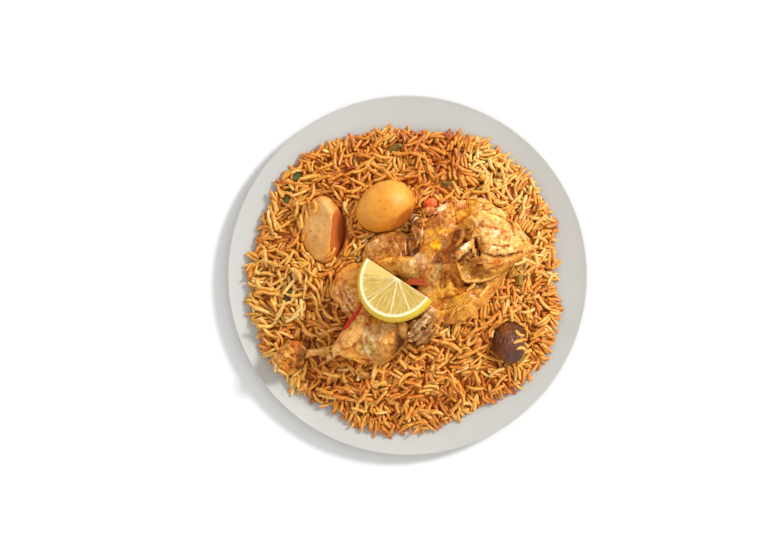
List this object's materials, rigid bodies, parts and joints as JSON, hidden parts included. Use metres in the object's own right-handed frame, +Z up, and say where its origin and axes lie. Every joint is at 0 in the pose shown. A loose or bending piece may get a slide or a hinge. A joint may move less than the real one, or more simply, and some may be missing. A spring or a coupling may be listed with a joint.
{
  "type": "plate of chicken and spiced rice",
  "caption": "Round coupe plate heaped with orange long-grain rice, topped with a stewed half chicken, potato, a dried lime and a thick half slice of lemon.",
  "frame": {"origin": "middle of the plate's foot, on the surface it stands on", "axes": "+Z up, +X to the right and +Y away from the diner, seen from above"},
  "size_m": [0.28, 0.28, 0.0768],
  "materials": {
    "glaze": "satin off-white glaze",
    "rice": "long-grain rice cooked in spiced stock, orange to brown, slightly oily",
    "chicken": "stewed skin and meat, tan to orange-brown, moist",
    "potato": "peeled boiled potato, golden orange, moist",
    "cut_potato": "cut boiled potato, pale orange",
    "dried_lime": "wrinkled dark brown skin, wet",
    "lemon": "pale yellow flesh and pith, yellow rind",
    "red_pepper": "cooked red pepper and tomato, wet",
    "green_pepper": "cooked green pepper, olive, wet",
    "onion": "cooked onion, translucent, pale orange",
    "herb": "dark green leaf"
  },
  "bodies": {
    "root": {"plate": "glaze", "rice_bed": "rice", "half_chicken": "chicken", "potato_whole": "potato", "potato_cut": "cut_potato", "dried_lime": "dried_lime", "lemon_half_slice": "lemon", "red_pepper_strip_left": "red_pepper", "red_pepper_strip_centre": "red_pepper", "tomato_piece": "red_pepper", "tomato_skin": "red_pepper", "orange_pepper_shard": "red_pepper", "tomato_left": "red_pepper", "green_pepper_top": "green_pepper", "green_pepper_middle": "green_pepper", "green_pepper_right": "green_pepper", "onion_left": "onion", "onion_front": "onion", "herb_left": "herb", "parsley_back": "herb", "parsley_left": "herb"}
  },
  "joints": []
}
